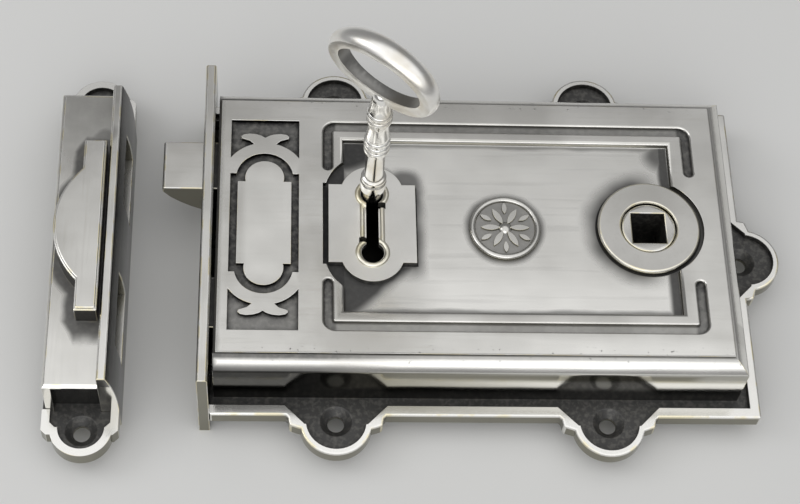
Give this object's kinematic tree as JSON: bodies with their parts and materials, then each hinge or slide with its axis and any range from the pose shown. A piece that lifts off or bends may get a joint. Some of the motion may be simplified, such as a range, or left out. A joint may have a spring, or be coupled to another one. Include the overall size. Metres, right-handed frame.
{
  "type": "rim box lock",
  "caption": "Cast rim box lock: flanged case with sunk panels, upright forend, sprung bevelled latch, key-thrown dead bolt, square-spindle follower, ring-bow key and matching keep.",
  "frame": {"origin": "centre of the four long-side lug screws, on the back face that lies against the door", "axes": "+Z out of the door, +X along the case away from the forend, +Y across the case"},
  "size_m": [0.2158, 0.1289, 0.1047],
  "materials": {
    "case_plate": "cast brass with worn nickel plate, polished on the high faces, dark patina in the recesses",
    "trim": "nickel-plated brass, polished, dark in the corners",
    "bolts": "plated brass, rubbed bright",
    "works": "sawn brass, unpolished",
    "spring_steel": "blued spring steel",
    "fixings": "turned steel",
    "key_steel": "polished steel with a faint warm tarnish"
  },
  "bodies": {
    "case": {"base_plate": "case_plate", "case_cover": "case_plate", "forend": "case_plate", "forend_screws": "fixings", "keyhole_escutcheon": "trim", "spindle_rose": "trim", "medallion": "trim", "case_pillars": "works", "case_screws": "fixings", "latch_guide": "works", "latch_spring": "spring_steel", "latch_spring_post": "works", "bolt_stump": "works", "tumbler_pivot": "works", "tumbler_spring": "spring_steel", "tumbler_spring_post": "works", "key_ward": "works"},
    "latch": {"latch_head": "bolts", "latch_tail": "works"},
    "follower": {"follower": "works"},
    "dead_bolt": {"bolt_head": "bolts", "bolt_tail": "works"},
    "tumbler": {"tumbler": "works"},
    "key": {"key_bow": "key_steel", "key_shank": "key_steel", "key_bit": "key_steel"},
    "keep": {"keep_base": "case_plate", "keep_box": "case_plate", "keep_striker": "case_plate", "keep_cap": "case_plate"}
  },
  "joints": [
    {"name": "follower_turn", "type": "hinge", "parent": "case", "child": "follower", "pos_m": [0.0515, 0, 0.012], "axis": [0, 0, -1], "range_deg": [0, 40]},
    {"name": "latch_slide", "type": "slide", "parent": "case", "child": "latch", "axis": [1, 0, 0], "range_m": [0, 0.0115], "stiffness_N_per_m": 350, "springref_m": -0.012, "deforming": ["latch_spring"]},
    {"name": "key_turn", "type": "hinge", "parent": "case", "child": "key", "pos_m": [-0.029, 0.00965, 0.012], "axis": [0, 0, -1], "range_deg": [0, 108]},
    {"name": "bolt_slide", "type": "slide", "parent": "case", "child": "dead_bolt", "axis": [-1, 0, 0], "range_m": [0, 0.015]},
    {"name": "tumbler_lift", "type": "hinge", "parent": "case", "child": "tumbler", "pos_m": [0.016, -0.022, 0.0122], "axis": [0, 0, 1], "range_deg": [0, 4], "stiffness_Nm_per_rad": 0.05, "springref_deg": -11.46, "deforming": ["tumbler_spring"]},
    {"name": "keep_close", "type": "slide", "parent": "case", "child": "keep", "axis": [1, 0, 0], "range_m": [0, 0.0205]}
  ],
  "couplings": [
    {"joint": "follower_turn", "follows": "latch_slide", "rad_per_m": 60.7},
    {"joint": "key_turn", "follows": "bolt_slide", "rad_per_m": 125.6}
  ]
}
